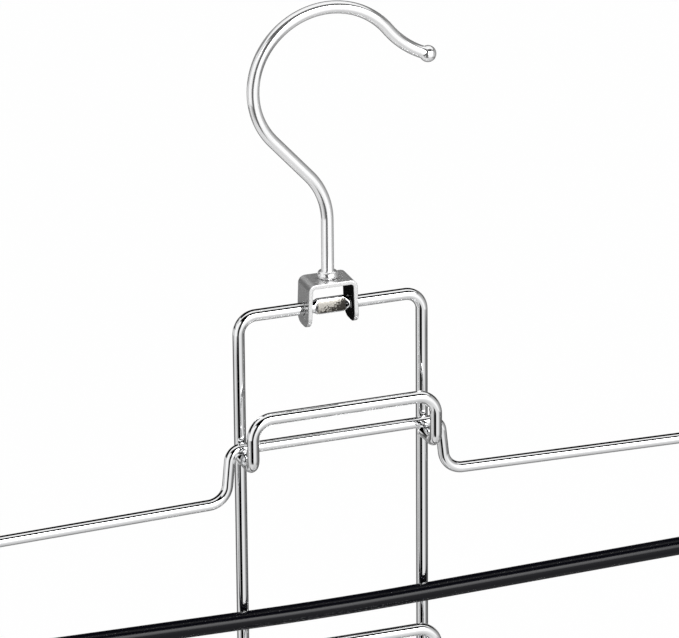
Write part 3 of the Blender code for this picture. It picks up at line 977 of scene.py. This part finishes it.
def make_screen():
    """A pale screen round the hook, whose wire mirrors it. Nearly all the rest hangs too low."""
    angles = [2 * math.pi * k / SCREEN_STEPS for k in range(SCREEN_STEPS)]
    mesh = bmesh.new()
    rings = []
    for z in (SCREEN_FOOT[0], SCREEN_SIDE_TOP[0]):
        places = [(SCREEN_RADIUS * math.cos(a), SCREEN_RADIUS * math.sin(a), z) for a in angles]
        rings.append([mesh.verts.new(place) for place in places])
    low, high = rings
    for k in range(SCREEN_STEPS):
        j = (k + 1) % SCREEN_STEPS
        mesh.faces.new((low[k], low[j], high[j], high[k]))

    def stands(tree):
        place = tree.nodes.new("ShaderNodeTexCoord")
        x, y, height = split(tree, place.outputs["Object"])
        azimuth = from_front(tree, x, y)
        aside = maths(tree, "ABSOLUTE", azimuth)
        side = product(
            tree,
            soft_step(tree, aside, *SCREEN_SIDE_START),
            soft_step(tree, aside, *SCREEN_SIDE_END),
            soft_step(tree, height, *SCREEN_SIDE_TOP),
        )
        solid = maths(tree, "MAXIMUM", side, soft_step(tree, height, *SCREEN_TOP))
        solid = product(tree, solid, soft_step(tree, height, *SCREEN_FOOT))
        return solid, ramp(tree, azimuth, SCREEN)

    stage_gloss("screen", mesh, part_clear("screen", stands))


def make_card():
    """The black cards, a little above the frame's top bar. What hangs below them mirrors their
    undersides, and the hook, which stands above them, sees through them to the studio."""
    height = TOP_BAR_Z + FRAME_WIRE
    mesh = bmesh.new()
    for left, right, near, far in CARDS:
        corners = [(left, far), (right, far), (right, near), (left, near)]
        mesh.faces.new([mesh.verts.new((x, y, height)) for x, y in corners])

    def from_below(tree):
        sides = tree.nodes.new("ShaderNodeNewGeometry")
        return maths(tree, "SUBTRACT", 1.0, sides.outputs["Backfacing"]), None

    stage_gloss("card", mesh, part_clear("card", from_below))


def make_lamp():
    """One large soft lamp, above and in front to the right, for the form of dull surfaces."""
    data = bpy.data.lights.new("soft_lamp", "AREA")
    data.shape = "DISK"
    data.size = LAMP_WIDTH
    data.energy = LAMP_POWER
    lamp = bpy.data.objects.new("soft_lamp", data)
    lamp.location = LAMP_PLACE
    lamp.rotation_mode = "QUATERNION"
    aim = Vector((0, 0, TOP_BAR_Z)) - lamp.location
    lamp.rotation_quaternion = aim.to_track_quat("-Z", "Y")
    lamp.visible_glossy = False
    bpy.context.scene.collection.objects.link(lamp)


def make_floor():
    """A pale floor well below the hanging object, which keeps its soft shadow."""
    made, tree, shader = shader_of("pale_floor", 0.0)
    shader.inputs["Base Color"].default_value = FLOOR_SHADE
    shader.inputs["Roughness"].default_value = 0.9
    glow = tree.nodes.new("ShaderNodeEmission")
    glow.inputs["Color"].default_value = (1, 1, 1, 1)
    rays = tree.nodes.new("ShaderNodeLightPath")
    show_mix(tree, product(tree, rays.outputs["Is Camera Ray"], FLOOR_WHITE), shader, glow)

    mesh = bmesh.new()
    half, z = FLOOR_HALF, FRAME_BOTTOM_Z - FLOOR_DROP
    corners = ((-half, -half), (half, -half), (half, half), (-half, half))
    mesh.faces.new([mesh.verts.new((x, y, z)) for x, y in corners])
    floor = object_of("floor", mesh, made)
    floor.visible_glossy = False


def make_camera():
    """The photograph's camera, aimed at TARGET."""
    azimuth, elevation = math.radians(AZIMUTH), math.radians(ELEVATION)
    level = math.cos(elevation)
    back = Vector((math.sin(azimuth) * level, -math.cos(azimuth) * level, math.sin(elevation)))
    data = bpy.data.cameras.new("camera")
    data.sensor_width = SENSOR_WIDTH
    data.lens = FOCAL_PIXELS * SENSOR_WIDTH / IMAGE_WIDTH
    data.clip_start = CLIP_START
    data.clip_end = CLIP_END
    camera = bpy.data.objects.new("camera", data)
    camera.rotation_mode = "QUATERNION"
    camera.location = TARGET + back * DISTANCE
    roll = Matrix.Rotation(math.radians(ROLL), 3, "Z").to_quaternion()
    camera.rotation_quaternion = (-back).to_track_quat("-Z", "Y") @ roll
    bpy.context.scene.collection.objects.link(camera)
    bpy.context.scene.camera = camera


COINED = chrome("frame_chrome", WIRE_PLATE, rough=0.02, grain_or_painted_shade=coin_grain)
WIRE_CHROME = chrome("wire_chrome", WIRE_PLATE, rough=0.02)
HOOK_CHROME = chrome("hook_chrome", HOOK_PLATE, rough=0.07, metallic=0.87)
# The clevis's sheet, with painted shade on its arms and inner side
SHEET_CHROME = chrome(
    "sheet_chrome", SHEET_PLATE, rough=0.25, metallic=0.9, sheet=True, grain_or_painted_shade=painted_shade_of_clevis
)
BLACK = sleeve_black()

make_frame()
for number in range(1, TIER_COUNT + 1):
    drop = (number - 1) * TIER_PITCH
    make_cradle(number, TOP_BAR_Z - FIRST_SEAT_DROP - drop)
    make_tier_wire(number, FIRST_TIER_Z - drop)
    make_sleeve(number, FIRST_TIER_Z - drop)
make_clevis()
make_hook()
make_world()
make_screen()
make_card()
make_lamp()
make_floor()
make_camera()
bpy.context.scene.view_settings.view_transform = "Standard"
